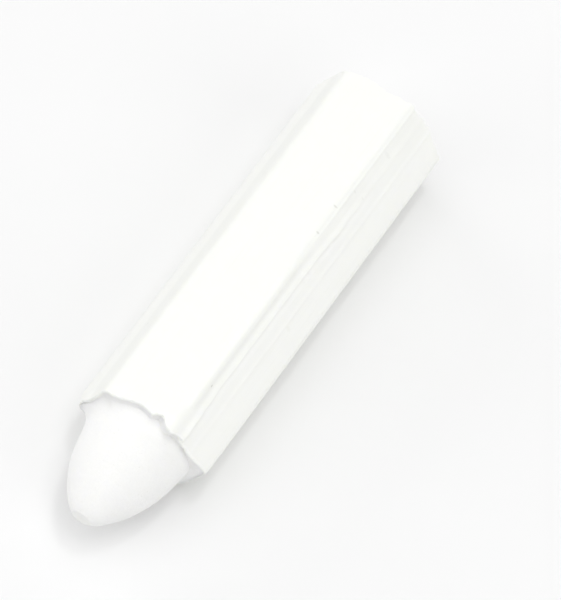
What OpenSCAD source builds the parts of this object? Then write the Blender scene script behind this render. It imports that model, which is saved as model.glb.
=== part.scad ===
// A piece of hexagonal marking chalk in its paper wrapper, lying on one of its flats.
// The chalk is one stick: a hexagonal shank, a shoulder, and a round neck and nose that
// end in a small flat. The wrapper is one glued sheet, wound more than once round the shank
// and cut off a little past the shoulder.
// Millimetres. The nose points to -Y and Z is up. The origin is on the ground, under
// the middle of the whole length.

/* [Chalk] */
// Across the flats of the bare chalk
chalk_af = 12.1; // [9:0.1:16]
// Radius along the six long corners of the bare chalk
chalk_corner_r = 0.8; // [0.3:0.1:1.5]
// Length of the full flats, from the butt to the shoulder
shank_len = 39.7; // [15:0.1:110]
// Width of the shoulder, from a flat in to the round neck
shoulder_w = 0.8; // [0.3:0.1:1.5]
// Slope of the shoulder, measured from the axis
shoulder_slope = 83; // [30:1:85]
// Length of the straight neck between the shoulder and the nose
neck_len = 0.9; // [0:0.1:4]
// Length of the nose, from its foot to its blunt end
nose_len = 9.6; // [8:0.1:16]
// Width of the small flat that ends the nose
tip_flat = 2; // [0:0.1:2.4]
// Radius of the edge round that flat
tip_r = 0.3; // [0.1:0.1:1.5]

/* [Wrapper] */
// Thickness of the paper
paper_t = 0.16; // [0.1:0.02:0.4]
// Space between the chalk and the paper, filled by a thin line of glue
glue_gap = 0.06; // [0.03:0.01:0.15]
// How far the paper reaches past the full flats, before the cut wanders
lip = 0.8; // [0.3:0.1:1.2]
// How strongly the two cut rims wander, where 0 is a straight cut
rim_wander = 1; // [0:0.1:1.5]
// From the upper left corner down to the sheet's covered edge
tuck = 5.3; // [1:0.1:6]
// From the upper right corner down to the sheet's free edge
lap = 1.6; // [1:0.1:6]

/* [Hidden] */
$fn = 120;

// The nose is a long arc that starts along the axis and runs into the round edge of its
// flat end without a corner, so the arc's radius follows from the other sizes.
nose_r = chalk_af / 2 - shoulder_w;
edge_in = nose_r - tip_flat / 2;
edge_at = nose_len - tip_r;
flank_r = (pow(edge_in, 2) + pow(edge_at, 2) - pow(tip_r, 2)) / (2 * (edge_in - tip_r));
touch_h = edge_at * flank_r / (flank_r - tip_r);
shoulder_h = shoulder_w / tan(shoulder_slope);
nose_foot = shank_len + shoulder_h + neck_len;
chalk_len = nose_foot + nose_len;

// Where the two cuts that made the paper's rims left them long or short: middle and half
// width, both counted in faces of the hexagon, and height in millimetres. Faces are
// counted clockwise from the upper left corner, as seen from the nose.
nose_rim = [
    [-1, 0.45, 0.3], [-0.42, 0.58, 0.75], [0.06, 0.25, 0.28], [0.5, 0.34, -0.45],
    [0.8, 0.13, -0.62], [1.01, 0.14, 0.33], [1.22, 0.08, -0.2], [2, 0.5, -0.35]
];
butt_rim = [
    [-0.55, 0.35, -0.22], [0, 0.1, -0.12], [0.35, 0.35, 0.3], [0.8, 0.2, 0.2],
    [0.98, 0.07, 0.35], [1.4, 0.34, 0.45], [2, 0.35, -0.25]
];
rim_step = 0.05;

// The ground lies one layer of paper below the chalk, and the whole length, with the
// longest tongue of paper at the butt, is centred.
axis_h = chalk_af / 2 + glue_gap + paper_t;
butt_reach = max([for (place = [-1:rim_step:5]) wander(butt_rim, place)]);
middle_h = (chalk_len - butt_reach) / 2;

overlap = 1;
past_rims = 4;

// Size and corner radius of the hexagon outside a number of layers of paper.
function wrap_af(layers) = chalk_af + 2 * (glue_gap + layers * paper_t);
function wrap_corner_r(layers) = chalk_corner_r + glue_gap + layers * paper_t;

// A smooth hump: 1 in its middle and 0 from half its width outwards.
function hump(x) = abs(x) < 1 ? (1 + cos(180 * x)) / 2 : 0;

// Distance from one place on the rim to another, the short way round the six faces.
function faces_between(a, b) = (a - b + 15) % 6 - 3;

// How much a rim stands long at a place, as the sum of its humps.
function wander(rim, place) = rim_wander
    * [for (wave = rim) hump(faces_between(place, wave[0]) / wave[1])]
    * [for (wave = rim) wave[2]];

// Height of the paper's edge over the chalk's butt. End is 1 at the nose, -1 at the butt.
function edge_h(end, place) =
    end > 0 ? shank_len + lip + wander(nose_rim, place) : -wander(butt_rim, place);

// How far to the side a place on the rim is.
function edge_x(place) = wrap_af(1) / sqrt(3)
    * lookup(place, [[-1, -1], [0, -0.5], [1, 0.5], [2, 1], [3, 0.5], [4, -0.5], [5, -1]]);

// A point on a slanting upper face of the chalk, some way down from its upper corner and
// some way out from the face. Side is 1 on the right and -1 on the left.
function on_slant(side, down, out) = [
    side * (chalk_af / 2 * tan(30) + down * cos(60) + out * cos(30)),
    chalk_af / 2 - down * sin(60) + out * sin(30)
];

// A hexagon that rests on a flat, with rounded corners.
module rounded_hexagon(af, r) {
    corners = [for (a = [0:60:300]) (af / 2 - r) / cos(30) * [cos(a), sin(a)]];
    polygon([for (i = [0:5], turn = [-30, 30])
        corners[i] + r * [cos(60 * i + turn), sin(60 * i + turn)]]);
    for (corner = corners) translate(corner) circle(r);
}

// Draws children that rise along Z from the middle of the butt, laid down along the stick.
module lay_down() {
    translate([0, middle_h, axis_h]) rotate([90, 0, 0]) children();
}

// Half section of the shape that a lathe would leave: straight, then the shoulder, the
// neck, the long arc and the flat end with its round edge.
module turned_half() {
    clear_r = chalk_af;
    polygon([
        [0, 0], [clear_r, 0],
        [clear_r, shank_len + shoulder_h - (clear_r - nose_r) / tan(shoulder_slope)],
        [nose_r, shank_len + shoulder_h], [nose_r, nose_foot], [0, nose_foot]
    ]);
    translate([0, nose_foot]) {
        intersection() {
            translate([nose_r - flank_r, 0]) circle(flank_r);
            square([nose_r, touch_h]);
        }
        translate([tip_flat / 2, edge_at]) circle(tip_r);
        square([tip_flat / 2, nose_len]);
    }
}

// The part of the section where the sheet lies double: over the top, from the covered
// edge on the left to the free edge on the right.
module lapped_zone() {
    polygon([
        on_slant(-1, tuck, -overlap), on_slant(-1, tuck, overlap),
        [-chalk_af, chalk_af], [chalk_af, chalk_af],
        on_slant(1, lap, overlap), on_slant(1, lap, -overlap)
    ]);
}

module wrapper_section() {
    difference() {
        union() {
            rounded_hexagon(wrap_af(1), wrap_corner_r(1));
            intersection() {
                rounded_hexagon(wrap_af(2), wrap_corner_r(2));
                lapped_zone();
            }
        }
        rounded_hexagon(wrap_af(0), wrap_corner_r(0));
    }
}

// What a cut takes away past one rim. End is 1 at the nose and -1 at the butt, and side
// is 1 for the faces above the axis and -1 for those below it.
module cut_away(end, side) {
    first = side > 0 ? -1 : 2;
    past = edge_h(end, 3.5) + end * past_rims;
    translate([0, side > 0 ? chalk_af : 0, 0]) rotate([90, 0, 0]) linear_extrude(chalk_af)
        polygon([
            for (i = [0:3 / rim_step]) let (place = first + i * rim_step)
                [edge_x(place), edge_h(end, place)],
            [side * chalk_af, past], [-side * chalk_af, past]
        ]);
}

module chalk_stick() {
    color("#f7f7f4") lay_down() intersection() {
        linear_extrude(chalk_len + overlap) rounded_hexagon(chalk_af, chalk_corner_r);
        rotate_extrude() turned_half();
    }
}

module wrapper() {
    color("#f1f3e6") lay_down() difference() {
        translate([0, 0, -past_rims / 2])
            linear_extrude(shank_len + lip + past_rims) wrapper_section();
        for (end = [1, -1], side = [1, -1]) cut_away(end, side);
    }
}

chalk_stick();
wrapper();
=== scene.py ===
# %% [markdown]
# # A short stick of marking chalk in its paper wrapper
#
# The real thing is two pieces: a hexagonal stick of chalk with a bullet-shaped nose, and one
# sheet of coated paper that is wound a little more than once round the stick and glued. It
# lies on one of its flats, with its nose towards the viewer.
#
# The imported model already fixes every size, so this script first reads it. All numbers are
# metres, and `mm` turns the small ones into something that a ruler could show.

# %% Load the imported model
import math

import bpy
import numpy as np
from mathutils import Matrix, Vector


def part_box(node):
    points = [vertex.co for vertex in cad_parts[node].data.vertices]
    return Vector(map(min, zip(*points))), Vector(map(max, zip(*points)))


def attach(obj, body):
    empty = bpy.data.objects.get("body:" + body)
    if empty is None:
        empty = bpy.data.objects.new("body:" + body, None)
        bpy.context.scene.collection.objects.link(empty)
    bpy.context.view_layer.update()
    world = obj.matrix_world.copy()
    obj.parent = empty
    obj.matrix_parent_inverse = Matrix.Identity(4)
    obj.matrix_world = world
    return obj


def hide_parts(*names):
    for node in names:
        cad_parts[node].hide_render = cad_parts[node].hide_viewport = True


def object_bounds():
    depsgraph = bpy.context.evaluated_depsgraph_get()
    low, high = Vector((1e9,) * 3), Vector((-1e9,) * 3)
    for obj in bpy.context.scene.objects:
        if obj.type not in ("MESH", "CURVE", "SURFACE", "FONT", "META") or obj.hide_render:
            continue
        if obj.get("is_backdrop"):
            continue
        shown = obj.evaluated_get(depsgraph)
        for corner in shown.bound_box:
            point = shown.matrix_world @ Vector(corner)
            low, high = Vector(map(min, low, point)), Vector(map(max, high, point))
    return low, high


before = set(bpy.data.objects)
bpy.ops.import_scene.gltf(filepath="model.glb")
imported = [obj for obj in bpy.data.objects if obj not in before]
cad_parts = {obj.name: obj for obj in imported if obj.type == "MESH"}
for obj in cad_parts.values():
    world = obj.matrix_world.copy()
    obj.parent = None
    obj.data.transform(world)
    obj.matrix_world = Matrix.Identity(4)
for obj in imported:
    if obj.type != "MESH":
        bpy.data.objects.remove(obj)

mm = 0.001
cad_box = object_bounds()
print("box of the packed model in mm:", [round(side / mm, 2) for side in cad_box[1] - cad_box[0]])

# %% [markdown]
# ## Sizes that the model fixes
#
# A box says more than it seems to. The bare chalk is a hexagon on a flat, so its height gives
# the distance from the axis to a flat, and its width gives how far its corners are rounded.
# The wrapper lies once under the chalk and twice over it, so its box gives the thickness of
# the paper and of the glue.

# %% Read the section's sizes
chalk_low, chalk_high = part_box("chalk_stick")
paper_low, paper_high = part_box("wrapper")
axis_z = (chalk_low.z + chalk_high.z) / 2
to_flat = (chalk_high.z - chalk_low.z) / 2
sharp = 1 / math.cos(math.radians(30))
corner_r = (to_flat * sharp - chalk_high.x) / (sharp - 1)
paper_t = paper_high.z + paper_low.z - 2 * axis_z
glue_t = axis_z - paper_low.z - paper_t - to_flat
tip_y = chalk_low.y
butt_y = chalk_high.y
read_sizes = {"axis to flat": to_flat, "corner radius": corner_r, "paper": paper_t, "glue": glue_t}
for label, size in read_sizes.items():
    print(label, round(size / mm, 3), "mm")

# %% [markdown]
# ## The camera
#
# The camera comes first, because everything after it is seen through it. It looks down
# steeply from in front and a little to the right, from nearly half a metre away through a long
# lens, so the far end looks hardly smaller than the near one. It aims a few millimetres beside
# the middle, which leaves the stick standing a little left of the middle of the frame.

# %% Camera
def direction(azimuth, elevation):
    """The way from the object to a viewer: azimuth turns from -Y towards +X, elevation lifts it."""
    turn, lift = math.radians(azimuth), math.radians(elevation)
    return Vector((math.sin(turn) * math.cos(lift), -math.cos(turn) * math.cos(lift), math.sin(lift)))


camera = bpy.data.objects.new("camera", bpy.data.cameras.new("camera"))
bpy.context.scene.collection.objects.link(camera)
bpy.context.scene.camera = camera
camera.data.sensor_width = 36
camera.data.lens = 301
camera_back = direction(33.5, 62.46)
aim = (cad_box[0] + cad_box[1]) / 2 + Vector((2.83, 3.67, 0)) * mm
camera.location = aim + camera_back * 470.5 * mm
camera.rotation_euler = (-camera_back).to_track_quat("-Z", "Y").to_euler()
print("camera at", [round(place / mm, 1) for place in camera.location], "mm")

# %% [markdown]
# ## Helpers for surfaces
#
# Both pieces are surfaces worked out from two parameters: one that goes round the section and
# one that runs along the stick. They could be modelled by hand, but a formula keeps every
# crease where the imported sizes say, and numpy works out all its points at once. The points of
# a surface are a grid, and the faces join each point to its neighbours.

# %% Grids of points
def crowd(start, end, count, spots):
    """Values from start to end that crowd at some spots. Each spot is where, how wide and how much
    denser. A density is 1 plus a bell curve at each spot, and its running sum is read backwards."""
    value = np.linspace(start, end, 6000)
    density = 1 + sum(more * np.exp(-(((value - where) / wide) ** 2)) for where, wide, more in spots)
    total = np.cumsum(density)
    total = (total - total[0]) / (total[-1] - total[0])
    return np.interp(np.linspace(0, 1, count), total, value)


def quads(rows, columns, closed):
    """The corner numbers of a grid's faces. A closed grid joins its last column to its first."""
    number = np.arange(rows * columns).reshape(rows, columns)
    if closed:
        number = np.concatenate([number, number[:, :1]], axis=1)
    corners = [number[:-1, :-1], number[:-1, 1:], number[1:, 1:], number[1:, :-1]]
    return np.stack(corners, -1).reshape(-1, 4)


def fan(centre, ring):
    """Triangles from one centre point to a ring of points."""
    return np.stack([np.full(len(ring), centre), ring, np.roll(ring, -1)], -1)


def piece(name, points, faces, sharp_at=40):
    """Puts points and faces into a mesh object. Edges that turn more than sharp_at degrees stay
    crisp, and the rest is shaded smooth."""
    mesh = bpy.data.meshes.new(name)
    all_faces = [face for group in faces for face in group.tolist()]
    mesh.from_pydata(points.reshape(-1, 3).tolist(), [], all_faces)
    mesh.polygons.foreach_set("use_smooth", np.ones(len(mesh.polygons), bool))
    mesh.set_sharp_from_angle(angle=math.radians(sharp_at))
    made = bpy.data.objects.new(name, mesh)
    bpy.context.scene.collection.objects.link(made)
    print(name, "has", len(mesh.vertices), "points and", len(mesh.polygons), "faces")
    return made


# %% [markdown]
# Nothing handmade is perfectly even. `uneven` is a smooth random field that can be asked for
# at any point: a sum of plane waves, each with its own direction, length and phase. The seed
# fixes them, so that the piece comes out the same every time.

# %% Smooth unevenness
def uneven(points, size, seed, waves=36):
    """A smooth random field with a spread of about 1, whose bumps are about size wide. Size may be
    one number, or one for each coordinate where the bumps are longer one way."""
    random = np.random.default_rng(seed)
    ways = random.normal(size=(waves, points.shape[-1]))
    ways /= np.linalg.norm(ways, axis=1, keepdims=True)
    lengths = random.uniform(1.2, 3.2, (waves, 1))
    phases = random.uniform(0, 2 * math.pi, waves)
    heights = np.cos((points / size) @ (2 * math.pi * ways / lengths).T + phases)
    return heights.sum(-1) / math.sqrt(waves / 2)


def bell(value, middle, half_width):
    """A smooth bump: 1 at its middle, and nearly 0 from twice its half width outwards."""
    return np.exp(-(((value - middle) / half_width) ** 2))


def ramp(value, start, end):
    """Rises smoothly from 0 at start to 1 at end."""
    share = np.clip((value - start) / (end - start), 0, 1)
    return share * share * (3 - 2 * share)


# %% [markdown]
# ## The hexagon that both pieces share
#
# The section of the bare chalk is a hexagon with rounded corners. `place` counts its faces,
# clockwise as seen from the nose, from the upper left corner: 0 to 1 is the top, 1 to 2 the
# upper right face, and so on. The paper follows the same line further out, so the function
# also gives the outward direction at each place. Three more helpers measure from a corner and
# read a value that changes round the stick.

# %% The rounded hexagon
straight = 2 * (to_flat - corner_r) * math.tan(math.radians(30))
face_w = straight + corner_r * math.radians(60)


def hexagon(place):
    """Points (x, z from the axis) and outward directions. Within a face, the line runs straight and
    then turns through half a corner, on a circle of the corner's radius, at each end."""
    face = np.floor(place)
    along = (place - face - 0.5) * face_w
    turn = np.sign(along) * np.clip(np.abs(along) - straight / 2, 0, None) / corner_r
    across = np.clip(along, -straight / 2, straight / 2) + corner_r * np.sin(turn)
    out = to_flat - corner_r + corner_r * np.cos(turn)
    spin = np.radians(60) * face
    x = out * np.sin(spin) + across * np.cos(spin)
    z = out * np.cos(spin) - across * np.sin(spin)
    outward = np.stack([np.sin(spin + turn), np.cos(spin + turn)], -1)
    return np.stack([x, z], -1), outward


def past_corner(place, corner):
    """How far round the sheet a place lies past a corner, on the turn that the corner counts."""
    return (place - corner) * face_w


def from_corner(place, corner):
    """How many faces a place lies from a corner, the short way round: from -3 to 3."""
    return (place - corner + 3) % 6 - 3


def read_round(profile, place):
    """Reads a profile, which names a value at a few places, with straight lines between them."""
    return np.interp(place % 6, list(profile), list(profile.values()))


print("one face is", round(face_w / mm, 2), "mm wide round its corners")

# %% [markdown]
# ## The wrapper's outline
#
# The sheet's two rims were cut by hand and wander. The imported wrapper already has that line, so
# its own corners are read here instead of guessing it twice: how far to the side each corner
# lies and its y, once for the upper half of the hexagon and once for the lower. A reader
# function then gives the rim's y above or below any point of the section.

# %% Read the two rims
def rim_reader(at_nose):
    """A function from points of the section to the y of one rim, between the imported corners."""
    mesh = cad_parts["wrapper"].data
    corners = np.empty(len(mesh.vertices) * 3)
    mesh.vertices.foreach_get("co", corners)
    corners = corners.reshape(-1, 3)
    corners = corners[(corners[:, 1] < 0) == at_nose]
    halves = []
    for upper in (True, False):
        half = corners[(corners[:, 2] >= axis_z) == upper]
        half = half[np.argsort(half[:, 0])]
        halves.append((half[:, 0], half[:, 1]))

    def rim(section):
        above, below = (np.interp(section[..., 0], *half) for half in halves)
        return np.where(section[..., 1] >= 0, above, below)

    return rim


nose_rim = rim_reader(at_nose=True)
butt_rim = rim_reader(at_nose=False)
top_middle = np.array([0, to_flat])
rims_there = [float(rim(top_middle)) for rim in (nose_rim, butt_rim)]
print("over the middle of the top the rims lie at y", [round(y / mm, 2) for y in rims_there], "mm")

# %% [markdown]
# ## The chalk
#
# Marking chalk is pressed or cast in one go. Its outline is what a lathe would leave, cut down
# to a hexagon: a flat butt, the long shank, a sloping shoulder, a long arc and a small flat at
# the end of the nose. So one list of stations along the stick gives a turned radius, and each
# point lies at that radius or at the hexagon, whichever is less. A Screw modifier and a boolean
# could make the same body, but here every point stays free to be worn down afterwards.
#
# A box can't tell the sizes of the nose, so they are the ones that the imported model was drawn
# with.

# %% Stations along the chalk
shoulder_w = 0.8 * mm
shoulder_slope = math.tan(math.radians(83))
neck_len = 0.9 * mm
nose_len = 9.6 * mm
tip_flat = 2.0 * mm
tip_r = 0.3 * mm
foot_r = to_flat - shoulder_w
foot_y = tip_y + nose_len + neck_len
flats_end_y = foot_y + shoulder_w / shoulder_slope
clear_r = to_flat * sharp + 0.3 * mm


def nose_line(flank_steps, edge_steps):
    """Radius and y of the nose's outline: a long arc that starts along the axis, then a small
    round edge that it meets without a corner, up to the flat end."""
    edge_in = foot_r - tip_flat / 2
    edge_at = nose_len - tip_r
    flank_r = (edge_in**2 + edge_at**2 - tip_r**2) / (2 * (edge_in - tip_r))
    meet = math.atan2(edge_at, flank_r - edge_in)
    flank = np.linspace(0, meet, flank_steps)
    edge = np.linspace(meet, math.pi / 2, edge_steps)[1:]
    edge_radius = tip_flat / 2 + tip_r * np.cos(edge)
    radius = np.concatenate([foot_r - flank_r + flank_r * np.cos(flank), edge_radius])
    along = np.concatenate([flank_r * np.sin(flank), edge_at + tip_r * np.sin(edge)])
    return radius, foot_y - neck_len - along


def stretch(share, radius, y):
    """Rows of share, radius and y, where some of the three stay the same along the stretch."""
    return np.stack(np.broadcast_arrays(share, radius, y), -1)


def stations():
    """Rows of share, radius and y, from the middle of the butt to the flat end of the nose. Share
    draws a ring in towards the axis, where the butt and the flat end are closed."""
    butt_edge = 0.12 * mm
    butt = np.linspace(0.04, 1 - butt_edge / to_flat, 14)
    slope = np.linspace(clear_r, foot_r, 19)[:-1]
    slope_y = foot_y + (slope - foot_r) / shoulder_slope
    shank_y = np.linspace(butt_y - butt_edge, slope_y[0], 26)[:-1]
    neck_y = foot_y - neck_len * np.linspace(0, 1, 10)[:-1] ** 1.5
    nose_radius, nose_y = nose_line(flank_steps=84, edge_steps=7)
    end = np.linspace(0.9, 0.2, 5)
    stretches = [
        stretch(butt, clear_r, butt_y),
        stretch(1, clear_r, shank_y),
        stretch(1, slope, slope_y),
        stretch(1, foot_r, neck_y),
        stretch(1, nose_radius, nose_y),
        stretch(end, tip_flat / 2, tip_y),
    ]
    return np.concatenate(stretches)


rings = stations()
print(len(rings), "rings from the butt to the tip")

# %% [markdown]
# ### The pocket under the paper's rim
#
# The paper reaches a little past the shoulder, which leaves a shallow pocket between its rim
# and the nose. On the real stick chalk and glue fill most of it. A third piece could stand in
# for them, but it is simpler to move the shoulder forward until it lies a small recess behind
# the rim. The recess differs round the stick, so it is a profile: places, and millimetres
# there. A second profile says how far the nose swells out to meet the filling. The rim has a
# small tear at one corner, and three of its corners are pressed in.

# %% How chalk and glue fill the pocket
recess = {
    0: 0.15, 0.15: 0.15, 0.3: 0.04, 0.7: 0.03, 0.85: 0.03, 1: 0.3, 1.15: 0.3, 1.25: 0.12, 1.35: 0.17,
    1.5: 0.32, 1.8: 0.2, 2: 0.05, 2.4: 0.03, 4.4: 0.03, 4.8: 0.02, 5.2: 0.02, 5.4: 0.06, 6: 0.15,
}
swell = {0: 0.8, 0.2: 0.5, 0.4: 0.25, 1.5: 0.2, 1.8: 0.1, 2.4: 0.15, 4.4: 0.5, 5: 0.9, 5.8: 0.9, 6: 0.8}


def notch(place):
    """How far the front rim is torn back at the upper left corner, which is corner 0."""
    return 0.25 * mm * bell(from_corner(place, 0), -0.05, 0.16)


def filled(place, section):
    """How far chalk and glue stand forward of the shoulder: up to the recess behind the rim."""
    edge_y = foot_y + (np.linalg.norm(section, axis=-1) - foot_r) / shoulder_slope
    rim_y = nose_rim(section) + notch(place)
    return np.clip(edge_y - rim_y - read_round(recess, place) * mm, 0, None)


def pinched(place, y):
    """How far the rim's corners are pressed in, over the last millimetre or so of the paper: most
    at the left corner, a little at the right one and at the upper left one."""
    corner = 0.25 * bell(from_corner(place, 5), 0, 0.16)
    corner += 0.05 * bell(from_corner(place, 0), 0, 0.13)
    corner += 0.08 * bell(from_corner(place, 2), 0, 0.1)
    return corner * mm * ramp(-y, -foot_y - 0.2 * mm, -foot_y + 1.2 * mm)


print("the filling lies", min(recess.values()), "to", max(recess.values()), "mm behind the rim")

# %% [markdown]
# ### Wear
#
# The nose has been handled and rubbed. It is a little leaner on its left near the foot, the
# edge of its flat end is dulled, and its whole surface rolls by a few hundredths of a
# millimetre. Wear only takes away, so every point moves inwards. The grid itself tells which
# way that is: against the direction square to its two steps, along the stick and round it.

# %% Wear on the chalk
def outward_of(grid):
    """Directions square to a closed grid: the cross product of the steps along and round it."""
    along = np.gradient(grid, axis=0)
    round_it = np.roll(grid, -1, axis=1) - np.roll(grid, 1, axis=1)
    square = np.cross(along, round_it)
    return square / np.maximum(np.linalg.norm(square, axis=-1, keepdims=True), 1e-12)


def wear(grid, radius):
    """How far each point is rubbed down: a bump of wear on the left flank, one round the edge of
    the flat end, and gentle rolls everywhere, which never add anything."""
    y = grid[..., 1]
    degrees_up = np.degrees(np.arctan2(grid[..., 2] - axis_z, -grid[..., 0]))
    flank = 0.2 * mm * bell(degrees_up, 5, 50) * bell(y, foot_y - 3.6 * mm, 2.2 * mm)
    near_tip = ramp(-y, -tip_y - 1.5 * mm, -tip_y - 0.3 * mm)
    tip_edge = 0.14 * mm * bell(radius, tip_flat / 2 + 0.15 * mm, 0.5 * mm) * near_tip
    rolls = 0.014 * mm * uneven(grid, 2.2 * mm, 11) + 0.004 * mm * uneven(grid, 0.5 * mm, 12)
    return flank + tip_edge + np.clip(0.03 * mm + rolls, 0, None)


# %% [markdown]
# ### The surface of the chalk
#
# Now the stations and the hexagon meet. A plain minimum would leave a knife edge where the
# turned nose cuts the flats, so a soft minimum rounds it by a hair, as powder does. The butt
# and the flat end are closed by fans of triangles. The rings run from the butt to the tip, so
# the faces' corners are counted backwards, which makes every face point outwards.

# %% Chalk surface
def chalk_points(place):
    """The turned radius or the hexagon, whichever is less, minus the wear. The soft minimum of two
    lengths is minus the log of the sum of their e-to-the-minus, counted in the softness."""
    section, _ = hexagon(place)
    reach = np.linalg.norm(section, axis=-1)
    sideways, upwards = (section / reach[:, None]).T
    share, radius, y = rings.T[:, :, None]
    forward = filled(place, section)
    y = y - forward * np.interp(y, [foot_y - 2.1 * mm, foot_y, flats_end_y, butt_y], [0, 1, 1, 0])
    behind = np.clip(foot_y - forward - y, 0, None)
    radius = radius + read_round(swell, place) * mm * np.exp(-behind / (0.45 * mm))
    soft = 0.04 * mm
    least = -soft * np.logaddexp(-radius / soft, -(reach - pinched(place, y)) / soft)
    grid = np.stack([share * least * sideways, y, share * least * upwards + axis_z], -1)
    return grid - outward_of(grid) * wear(grid, least)[..., None]


chalk_place = np.linspace(0, 6, 288, endpoint=False)
chalk_grid = chalk_points(chalk_place)
chalk_rows, chalk_columns = chalk_grid.shape[:2]
butt_middle = chalk_grid[0].mean(0)
tip_middle = chalk_grid[-1].mean(0)
butt_ring = np.arange(chalk_columns)
tip_ring = butt_ring + (chalk_rows - 1) * chalk_columns
chalk_faces = [
    quads(chalk_rows, chalk_columns, closed=True)[:, ::-1],
    fan(chalk_rows * chalk_columns, butt_ring),
    fan(chalk_rows * chalk_columns + 1, tip_ring[::-1]),
]
chalk_all = np.concatenate([chalk_grid.reshape(-1, 3), [butt_middle, tip_middle]])
chalk = piece("chalk_stick_surface", chalk_all, chalk_faces)
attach(chalk, "root")
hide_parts("chalk_stick")

# %% [markdown]
# On its right the nose is a little greyer: painted shade, where its lower right turns away
# from the light. A brush could paint that on the vertices. Here a formula does, and the mesh
# keeps the result as an attribute of painted shade, in hundredths, which the finish reads later.

# %% Painted shade on the chalk
on_right = ramp(chalk_all[:, 0], 0.5 * mm, 4.5 * mm)
on_nose = ramp(-chalk_all[:, 1], -foot_y + 0.5 * mm, -foot_y + 2 * mm)
# painted shade on the nose's lower right, which turns away from the light
painted_dark = on_right * on_nose
chalk.data.attributes.new("painted_shade", "FLOAT", "POINT").data.foreach_set("value", 3 * painted_dark)
print("the held side is up to", round(3 * painted_dark.max(), 1), "hundredths greyer")

# %% [markdown]
# ## The wound sheet
#
# The sheet starts at a covered edge on the upper left face, runs once round the stick, climbs
# over its own start and ends at a free edge on the upper right face. A hexagonal tube with a
# Solidify modifier would be quicker, but it would have no start, no climb and no lap. So the
# sheet is one surface: `place` keeps counting past 6 on the second turn, and the distance from
# the chalk grows by one layer where it climbs. `tuck` is measured down from the upper left
# corner, and `lap` is the furthest that the free edge reaches past the upper right one.

# %% Where the sheet starts and ends
tuck = 5.3 * mm
lap = 1.85 * mm
first_place = -tuck / face_w
last_place = 7 + lap / face_w
print("the sheet is", round((last_place - first_place) * face_w / mm, 1), "mm long when unrolled")


def feathered(place):
    """Rises from 0 to 1 over the sheet's first half millimetre or so, which was rubbed thin."""
    return ramp(past_corner(place, first_place), 0, 0.6 * mm)


edge_run = {-16: 1.9, -12: 1.75, -9: 1.55, 7: 1.6, 10.5: 1.9, 16: 1.9, 25: 1.85}


def free_edge(y):
    """How far below the upper right corner the free edge runs. It isn't quite straight: its run
    names a few places along the stick and the distance there, and a slight fray is added."""
    run = np.interp(y / mm, list(edge_run), list(edge_run.values()))
    return run * mm + 0.02 * mm * uneven(y[..., None], 1.5 * mm, 24)


# %% [markdown]
# ### The relief of the sheet
#
# `sheet_height` says how far the middle of the paper lies from the chalk at each place. Real
# paper isn't pressed tight everywhere: it stands off where it crosses its own covered edge,
# arches beside the upper right corner and lifts at its free edge. Each of these is a bump or a
# ramp of its own, so that each can be changed alone.

# %% Where the paper stands off
def loose_parts(place, y):
    """How far the second turn stands off: a ridge over the covered edge, an arch beside the upper
    right corner on the front half, and a ramp that rises to the free edge."""
    down = past_corner(place, 7)
    ridge = 0.04 * mm * bell(past_corner(place, 5), 2.1 * mm, 0.3 * mm)
    ridge *= np.clip(0.6 + 0.4 * uneven(y[..., None], 3.5 * mm, 25), 0, None)
    arch = 0.1 * mm * bell(down, 0.1 * mm, 0.4 * mm) * ramp(down, -0.3 * mm, 0.15 * mm)
    arch *= ramp(y, -13.0 * mm, -12.3 * mm) * (1 - ramp(y, 0, 8 * mm))
    lift = 0.12 * mm + 0.06 * mm * bell(y, -13.7 * mm, 0.9 * mm)
    lift *= 0.15 + 0.85 * ramp(y, -15.8 * mm, -14.4 * mm)
    lift *= 1 - 0.7 * ramp(y, 8 * mm, 18 * mm)
    lift *= 1 + 0.15 * uneven(y[..., None], 2 * mm, 21)
    return ridge + arch + lift * ramp(down, 1.0 * mm, free_edge(y))


# %% [markdown]
# Where it is glued, the paper still isn't smooth. It has a sharp crease along the corner of
# the rear half, a soft fold across the upper right face, a strip that the lap presses down,
# slow cockles from the glue and fine strings along the stick. The cockles and strings only
# press in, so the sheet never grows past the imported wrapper.

# %% Creases and cockles
def creases(place, y):
    """The fine relief of the glued paper, as bells across a crease and random fields elsewhere."""
    down = past_corner(place, 7)
    lower = past_corner(place, 1)
    relief = 0.025 * mm * bell(down, 0.22 * mm, 0.08 * mm) - 0.015 * mm * bell(down, 0.02 * mm, 0.07 * mm)
    relief *= ramp(y, 7 * mm, 9 * mm)
    fold = 0.03 * mm * bell(lower, 3.7 * mm, 0.17 * mm)
    relief += fold * (1 + 0.3 * uneven(y[..., None], 3 * mm, 26))
    relief -= 0.04 * mm * ramp(lower, 0.6 * mm, 1.4 * mm) * (1 - ramp(lower, 1.9 * mm, 2.5 * mm))
    spot = np.stack([(place % 6) * face_w, y], -1)
    cockles = 0.007 * mm * uneven(spot, np.array([2.4 * mm, 9 * mm]), 22)
    strings = 0.002 * mm * uneven(spot, np.array([0.35 * mm, 12 * mm]), 23)
    return relief - np.clip(0.015 * mm + cockles + strings, 0.004 * mm, None)


# %% [markdown]
# Past the shoulder the paper has nothing to lie on, so its rim leans in. How strongly it curls
# is a profile again: places, and how many millimetres in the paper is one millimetre past it.

# %% The rim that leans in
curl = {
    0: 0.3, 0.1: 0.4, 0.5: 0.6, 0.8: 0.2, 1: 0.3, 1.3: 1.2, 1.8: 1.5, 2: 0.4, 3.5: 0.2, 4.9: 0, 5: 0,
    5.2: 0.8, 5.6: 0.4, 6: 0.3,
}


def leaned_in(place, y):
    """How far the rim leans in: a curl that grows with the square of the distance past the filled
    shoulder, a press down onto the chalk, and the pinched corners."""
    section, _ = hexagon(place)
    past = np.clip(flats_end_y - filled(place, section) - y, 0, None)
    pressed = (glue_t + 0.03 * mm) * ramp(-y, -foot_y - 0.4 * mm, -foot_y + 0.5 * mm)
    return read_round(curl, place) * past**2 / mm + pressed + pinched(place, y)


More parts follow.
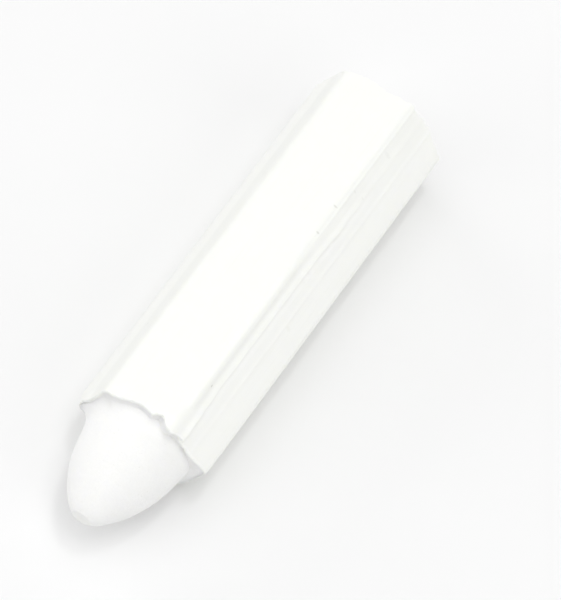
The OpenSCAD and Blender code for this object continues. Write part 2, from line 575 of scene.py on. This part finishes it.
def sheet_height(place, y):
    """Glue and half a layer, one layer more after the climb, plus what stands off and the fine
    relief, minus what leans in at the rim."""
    flat = glue_t + paper_t / 2 + paper_t * feathered(place - 6)
    return flat + loose_parts(place, y) + creases(place, y) - leaned_in(place, y)


# %% [markdown]
# ### The surface of the sheet
#
# The sheet has two sides and four edges. Its outer and inner side are the same formula, half a
# layer of paper up or down. Columns crowd at the corners and at the two long edges, and rows
# crowd at the rims, so that the detail is fine where something happens.

# %% Sheet surface
def sheet_points(place, share):
    """Points of the outer and inner side: y runs from rim to rim, and the height from the chalk
    goes square to the hexagon, half a layer of paper to each side. The outer side is drawn in at
    the front rim, where the cut is soft, and at the rubbed start of the sheet."""
    section, outward = hexagon(place)
    ends = section + outward * (glue_t + paper_t)
    fray = 0.03 * mm * uneven(place[:, None] * face_w, 0.35 * mm, 31)
    front = nose_rim(ends) + notch(place) + np.clip(0.02 * mm + fray, 0, None)
    back = butt_rim(ends) - np.clip(0.02 * mm + 0.7 * fray[::-1], 0, None)
    y = front + (back - front) * share[:, None]
    place = place + (free_edge(y) / lap - 1) * np.clip(place - 7, 0, None)
    section, outward = hexagon(place)
    height = sheet_height(place, y)
    under_lap = ramp(last_place - 6 - place, 0, 0.05)
    rounded = 0.75 * bell(y - front, 0, 0.06 * mm) * (1 - under_lap)
    thinned = 0.9 * (1 - feathered(place))
    sides = []
    for half in (paper_t * (0.5 - np.maximum(rounded, thinned)), -paper_t / 2):
        point = section + outward * (height + half)[..., None]
        sides.append(np.stack([point[..., 0], y, point[..., 1] + axis_z], -1))
    return sides


corner_spots = [(corner, 0.12, 3.0) for corner in range(2, 7)]
edge_spots = [(first_place, 0.1, 4), (last_place, 0.06, 7)]
crease_spots = [(7.03, 0.07, 9), (5.3, 0.06, 5), (1.54, 0.05, 3)]
places = crowd(first_place, last_place, 400, corner_spots + edge_spots + crease_spots)
shares = crowd(0, 1, 116, [(0, 0.03, 5), (0, 0.0025, 25), (1, 0.02, 3)])
outer, inner = sheet_points(places, shares)
print("the sheet has", len(places), "places round and", len(shares), "along")

# %% [markdown]
# Each row of the grid is one closed line: out along the outer side from the covered edge to
# the free edge, and back along the inner side. That closes the two long edges, and two ladders
# of faces close the cut rims.

# %% Faces of the sheet
sheet_loop = np.concatenate([outer, inner[:, ::-1]], axis=1)
loop_rows, loop_columns = sheet_loop.shape[:2]


def rim_ladder(row):
    """Faces between the outer and the inner side along one cut rim."""
    start = row * loop_columns
    out = start + np.arange(len(places))
    back = start + loop_columns - 1 - np.arange(len(places))
    return np.stack([out[:-1], back[:-1], back[1:], out[1:]], -1)


sheet_faces = [
    quads(loop_rows, loop_columns, closed=True),
    rim_ladder(0),
    rim_ladder(loop_rows - 1)[:, ::-1],
]
wrapper = piece("wrapper_sheet", sheet_loop, sheet_faces)
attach(wrapper, "root")
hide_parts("wrapper")

# %% [markdown]
# Where the sheet stands off or is folded, its colour is painted a little greyer, as painted
# shade, and where it is glued flat a little lighter, as painted light. An attribute says by how
# many hundredths, so that the finish can follow the same hollow, edge and creases.

# %% Painted shade and light on the paper
def corner_painted_shade(down, y):
    """Painted shade over the arch beside the corner and over the crease behind it, and painted
    light on the strip that leads from there to the free edge."""
    arched = ramp(y, -12.8, -12.3) * (1 - ramp(y, 4, 8))
    grey = 4.5 * bell(down, 0.5, 0.3) * arched + 2 * bell(down, 0.85, 0.3) * bell(y, -11, 1.3)
    grey += 2.5 * bell(down, 0.33, 0.1) * ramp(y, 8, 12) + 2 * bell(down, 0, 0.07) * ramp(y, 5, 8)
    return grey - 2 * bell(down, 1.25, 0.25) * (1 - ramp(y, 8, 13))


def edge_painted_shade(down, lower, y, edge):
    """A line of painted shade on both turns along the free edge, and a strip of painted light just past
    it.
    """
    lined = ramp(y, -15.6, -14.4) * (1 - ramp(y, 14, 19))
    glued = ramp(y, -16, -8) * (1 - ramp(y, 10, 18))
    grey = (2.5 * bell(down, edge, 0.2) + 3 * bell(lower, edge, 0.22)) * lined
    return grey - 4.5 * bell(lower, edge + 0.62, 0.28) * glued


def face_painted_shade(down, lower, up, y):
    """Painted shade and light across the two upper side faces, with a shaded fold on the right and
    a shaded line beside the upper left corner."""
    grey = 1.8 * bell(lower, 3.85, 0.15) * ramp(y, -16, 12) - 0.8 * bell(lower, 3.45, 0.2)
    grey -= 1.5 * ramp(lower, 0.5, 1.5) * (1 - ramp(lower, 5.5, 6.5)) + 1.5 * ramp(down, 0.9, 1.2)
    grey -= 1.3 * ramp(up, 0.8, 1.6) * (1 - ramp(up, 3.7, 4.5))
    grey += 3 * ramp(up, 3.7, 4.5) * (1 - ramp(up, 6.2, 6.9))
    return grey + 3 * bell(up, 6.75, 0.2)


def painted_shade(place, y):
    """The sum of the three: painted shade in hundredths where it is above 0 and painted light below, with
    every distance in millimetres.
    """
    down, lower, up = (past_corner(place, corner) / mm for corner in (7, 1, 5))
    grey = corner_painted_shade(down, y / mm) + face_painted_shade(down, lower, up, y / mm)
    return grey + edge_painted_shade(down, lower, y / mm, free_edge(y) / mm)


# %% [markdown]
# The finish of the paper follows the sheet and not the room, so the mesh gets a map of its own:
# how far round the sheet a point lies and how far along the stick, both in millimetres.

# %% The sheet's own map
loop_point = np.empty(len(wrapper.data.loops), int)
wrapper.data.loops.foreach_get("vertex_index", loop_point)
round_the_sheet = np.concatenate([places, places[::-1]]) * face_w / mm
round_the_sheet = np.broadcast_to(round_the_sheet, (loop_rows, loop_columns))
sheet_map = np.stack([round_the_sheet, sheet_loop[..., 1] / mm], -1)
map_layer = wrapper.data.uv_layers.new(name="sheet")
map_layer.data.foreach_set("uv", sheet_map.reshape(-1, 2)[loop_point].ravel())
# painted shade and painted light for each point of the sheet, in hundredths
painted_shade_map = painted_shade(sheet_map[..., 0] * mm / face_w, sheet_map[..., 1] * mm)
wrapper.data.attributes.new("painted_shade", "FLOAT", "POINT").data.foreach_set("value", painted_shade_map.ravel())
print("greyness runs from", round(painted_shade_map.min(), 1), "to", round(painted_shade_map.max(), 1), "hundredths")

# %% [markdown]
# ## Finishes
#
# Both finishes are procedural: noise in space instead of a picture wrapped round the piece, so
# they stay sharp from close up. A small helper keeps each material short: it makes a node,
# sets its fixed inputs and joins what comes from other nodes.

# %% Node helper
class Finish:
    """A material whose nodes are added one line at a time, with its shader already in place."""

    def __init__(self, name):
        self.material = bpy.data.materials.new(name)
        self.material.use_nodes = True
        self.tree = self.material.node_tree
        self.shader = self.tree.nodes["Principled BSDF"]

    def add(self, kind, settings=None, **inputs):
        """Adds a node. Settings are its own properties. An input is a value or another socket."""
        node = self.tree.nodes.new(kind)
        for key, value in (settings or {}).items():
            setattr(node, key, value)
        for key, value in inputs.items():
            self.feed(node.inputs[int(key[1:]) if key[0] == "_" else key.replace("_", " ")], value)
        return node

    def feed(self, socket, value):
        """Joins another node's socket to this one, or sets it to a value."""
        if isinstance(value, bpy.types.NodeSocket):
            self.tree.links.new(value, socket)
        else:
            socket.default_value = value

    def coat(self, **inputs):
        """Sets or joins inputs of the shader itself. An underscore stands for a space."""
        for key, value in inputs.items():
            self.feed(self.shader.inputs[key.replace("_", " ")], value)

    def noise(self, where, scale, detail=3.0, rough=0.55):
        """A noise from about 0 to 1 with scale bumps to each unit of where."""
        inputs = {"Vector": where, "Scale": scale, "Detail": detail, "Roughness": rough}
        return self.add("ShaderNodeTexNoise", **inputs).outputs[0]

    def between(self, value, low, high, start=0.0, end=1.0):
        """Spreads low to high over start to end, and holds it there."""
        return self.add("ShaderNodeMapRange", _0=value, _1=low, _2=high, _3=start, _4=end).outputs[0]

    def mix(self, share, one, other):
        """One colour where share is 0 and the other where it is 1."""
        node = self.add("ShaderNodeMix", {"data_type": "RGBA"}, _0=share, _6=one, _7=other)
        return node.outputs[2]

    def maths(self, operation, one, other, third=1.0):
        """One number worked out from two, or from three where the operation takes them."""
        return self.add("ShaderNodeMath", {"operation": operation}, _0=one, _1=other, _2=third).outputs[0]

    def toned(self, colour):
        """A colour taken down by as many hundredths of painted shade as the mesh's attribute says, and
        raised where that attribute holds painted light.
        """
        grey = self.add("ShaderNodeAttribute", {"attribute_name": "painted_shade"}).outputs["Fac"]
        left = self.maths("MULTIPLY_ADD", grey, -0.01)
        return self.add("ShaderNodeVectorMath", {"operation": "SCALE"}, _0=colour, _3=left).outputs[0]

    def speck(self, on_map, spot, size, fray):
        """1 inside an oval spot on a map and 0 outside, where fray is a noise on its outline."""
        vector_maths = "ShaderNodeVectorMath"
        offset = self.add(vector_maths, {"operation": "SUBTRACT"}, _0=on_map, _1=(*spot, 0)).outputs[0]
        scale = (2 / size[0], 2 / size[1], 0)
        oval = self.add(vector_maths, {"operation": "MULTIPLY"}, _0=offset, _1=scale).outputs[0]
        far = self.add(vector_maths, {"operation": "LENGTH"}, _0=oval).outputs["Value"]
        return self.between(self.maths("ADD", far, fray), 1.2, 1.9, 1.0, 0.0)


# %% [markdown]
# Chalk is powder pressed together. It has no shine at all, its colour drifts a little where
# fingers have rubbed it, and close up it has grain and a few pin holes. The grain is a bump of
# a few hundredths of a millimetre. The pin holes are pressed in by the bump, and their colour is
# painted darker as painted shade in them.

# %% Chalk finish
powder = Finish("pressed_chalk")
where = powder.add("ShaderNodeTexCoord").outputs["Object"]
drift = powder.between(powder.noise(where, 260, detail=2), 0.35, 0.65)
grain = powder.noise(where, 5200, detail=4, rough=0.65)
pores = powder.add("ShaderNodeTexVoronoi", Vector=where, Scale=1500.0, Randomness=1.0).outputs["Distance"]
holes = powder.between(pores, 0.0, 0.13, 1.0, 0.0)
clean = powder.mix(drift, (0.90, 0.90, 0.89, 1), (0.935, 0.935, 0.925, 1))
dusty = powder.mix(powder.between(grain, 0.3, 0.7), (0.89, 0.89, 0.88, 1), clean)
# painted shade: the pin holes are painted darker in the colour, besides their bump
shaded_pits = powder.mix(powder.maths("MULTIPLY", holes, 0.2), dusty, (0.62, 0.62, 0.60, 1))
rise = powder.maths("SUBTRACT", grain, powder.maths("MULTIPLY", holes, 1.2))
bump = powder.add("ShaderNodeBump", Strength=0.6, Distance=0.03 * mm, Height=rise)
# the colour takes the painted shade of the nose's right side and of the pin holes
powder.coat(
    Base_Color=powder.toned(shaded_pits),
    Roughness=powder.between(grain, 0.2, 0.8, 0.9, 1.0),
    Normal=bump.outputs[0],
    Specular_IOR_Level=0.2,
    Subsurface_Weight=0.5,
    Subsurface_Radius=(0.8 * mm, 0.8 * mm, 0.7 * mm),
    Subsurface_Scale=1.0,
)
chalk.data.materials.append(powder.material)
print(powder.material.name, "has", len(powder.tree.nodes), "nodes")

# %% [markdown]
# The wrapper is thin coated paper in a cream that leans to green. Light soaks into it, so it
# gets a little scattering under the surface, and its coat gives it a faint satin shine. Fine
# lines run along the stick, where the paper was drawn tight.

# %% Paper finish
paper = Finish("coated_paper")
where = paper.add("ShaderNodeTexCoord").outputs["Object"]
on_sheet = paper.add("ShaderNodeUVMap", {"uv_map": "sheet"}).outputs[0]
drawn_out = (5.0, 0.12, 1.0)
stretched = paper.add("ShaderNodeVectorMath", {"operation": "MULTIPLY"}, _0=on_sheet, _1=drawn_out)
lines = paper.noise(stretched.outputs[0], 1.0, detail=3)
clouds = paper.between(paper.noise(where, 420, detail=3), 0.35, 0.65)
fibres = paper.noise(where, 5200, detail=3, rough=0.6)
cream = paper.mix(clouds, (0.905, 0.913, 0.875, 1), (0.913, 0.921, 0.883, 1))
lined = paper.mix(paper.between(lines, 0.56, 0.72, 0.0, 0.2), cream, (0.83, 0.845, 0.785, 1))
# painted shade and painted light from the sheet's attribute darken or lighten the paper here
shown = paper.toned(lined)
print("the lines are drawn out", round(drawn_out[0] / drawn_out[1]), "times longer than they are wide")

# %% [markdown]
# The wrapper has picked up a few specks and faint smudges in use. Each is an oval with a frayed
# outline at a spot on the sheet. A row gives the corner that it is counted from, millimetres
# past it and along the stick, its width and length, and how dark it is.

# %% Specks and smudges
specks = [
    (7, -0.1, 12.0, 0.28, 0.18, 0.2),
    (7, 0.0, 8.8, 0.24, 0.18, 0.2),
    (7, 0.6, -9.7, 0.18, 0.26, 0.3),
    (7, 0.9, 19.7, 0.9, 0.35, 0.06),
    (7, 0.4, 14.5, 0.35, 0.2, 0.07),
    (7, 1.6, 14.8, 0.35, 0.2, 0.06),
    (1, 4.2, 0.5, 0.6, 0.4, 0.05),
    (5, 4.9, -7.1, 0.25, 0.3, 0.08),
    (5, 1.3, 4.8, 0.25, 0.3, 0.08),
]
fray = paper.noise(where, 6000, detail=2)
for corner, past, along, wide, long, dark in specks:
    inside = paper.speck(on_sheet, (corner * face_w / mm + past, along), (wide, long), fray)
    shown = paper.mix(paper.maths("MULTIPLY", inside, dark), shown, (0.22, 0.21, 0.15, 1))
print(len(specks), "specks on", paper.material.name)

# %% [markdown]
# Last come the shine and the bump. The fibres make the coat a little uneven, and the drawn
# lines stand up by a hundredth of a millimetre or two.

# %% The paper's coat
rise = paper.maths("ADD", lines, paper.maths("MULTIPLY", fibres, 0.25))
bump = paper.add("ShaderNodeBump", Strength=0.5, Distance=0.02 * mm, Height=rise)
paper.coat(
    Base_Color=shown,
    Roughness=paper.between(fibres, 0.2, 0.8, 0.34, 0.48),
    Normal=bump.outputs[0],
    Subsurface_Weight=0.4,
    Subsurface_Radius=(0.14 * mm, 0.14 * mm, 0.12 * mm),
    Subsurface_Scale=1.0,
)
wrapper.data.materials.append(paper.material)
print(paper.material.name, "has", len(paper.tree.nodes), "nodes")

# %% [markdown]
# ## Floor
#
# The stick lies on a plain pale sheet. One large square is enough. Its tint drifts by one
# hundredth, so that it doesn't look like a flat colour, and it has almost no shine.

# %% Floor
ground = Finish("pale_floor")
where = ground.add("ShaderNodeTexCoord").outputs["Object"]
tint = ground.between(ground.noise(where, 30, detail=2), 0.3, 0.7)
ground.coat(
    Base_Color=ground.mix(tint, (0.862, 0.862, 0.862, 1), (0.875, 0.875, 0.875, 1)),
    Roughness=0.9,
    Specular_IOR_Level=0.1,
)
floor_half = 1.5
floor_corners = np.array([(-1, -1, 0), (1, -1, 0), (1, 1, 0), (-1, 1, 0)]) * floor_half
floor = piece("floor", floor_corners, [np.array([[0, 1, 2, 3]])])
floor.data.materials.append(ground.material)
floor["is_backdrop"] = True

# %% [markdown]
# ## Light
#
# The light is very even, as in a bright room: white walls all round, a broad lamp above and
# softer ones on each side. One small lamp, high and behind on the right, gives the nose its
# own shadow. A lamp's strength is given as the share of full white that it adds to a white
# card that faces it, because such shares can be added up: together they make a white card on
# the floor about fully white.

# %% Lamps
def lamp(name, azimuth, elevation, distance, size, share):
    """A square lamp that looks at the stick, with its side and its distance in metres. A card's
    share of white is the lamp's power divided by pi squared and by the distance squared, so the
    power is the share times both."""
    light = bpy.data.lights.new(name, "AREA")
    light.shape = "SQUARE"
    light.size = size
    light.energy = share * math.pi**2 * distance**2
    holder = bpy.data.objects.new(name, light)
    bpy.context.scene.collection.objects.link(holder)
    back = direction(azimuth, elevation)
    holder.location = back * distance
    holder.rotation_euler = (-back).to_track_quat("-Z", "Y").to_euler()
    print(name, round(light.energy, 3), "W")


lamp("lamp_small", 130, 78, 0.7, 0.06, 0.068)
lamp("lamp_above", -60, 86, 1.0, 1.1, 0.312)
lamp("lamp_high_right", 85, 74, 0.8, 0.25, 0.125)
lamp("lamp_right", 80, 35, 0.8, 0.5, 0.158)
lamp("lamp_left_low", -100, 20, 0.8, 0.5, 0.158)
lamp("lamp_front_left", -45, 35, 0.8, 0.5, 0.088)

world = bpy.data.worlds.new("bright_room")
bpy.context.scene.world = world
world.use_nodes = True
room = world.node_tree.nodes["Background"]
room.inputs["Color"].default_value = (1, 1, 1, 1)
room.inputs["Strength"].default_value = 0.537

bpy.context.scene.view_settings.view_transform = "Standard"

# %% Compare sizes and finish
made_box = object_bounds()
moved = [made - packed for made, packed in zip(made_box, cad_box)]
print("the box's corners moved by, in mm:", [round(step / mm, 3) for corner in moved for step in corner])
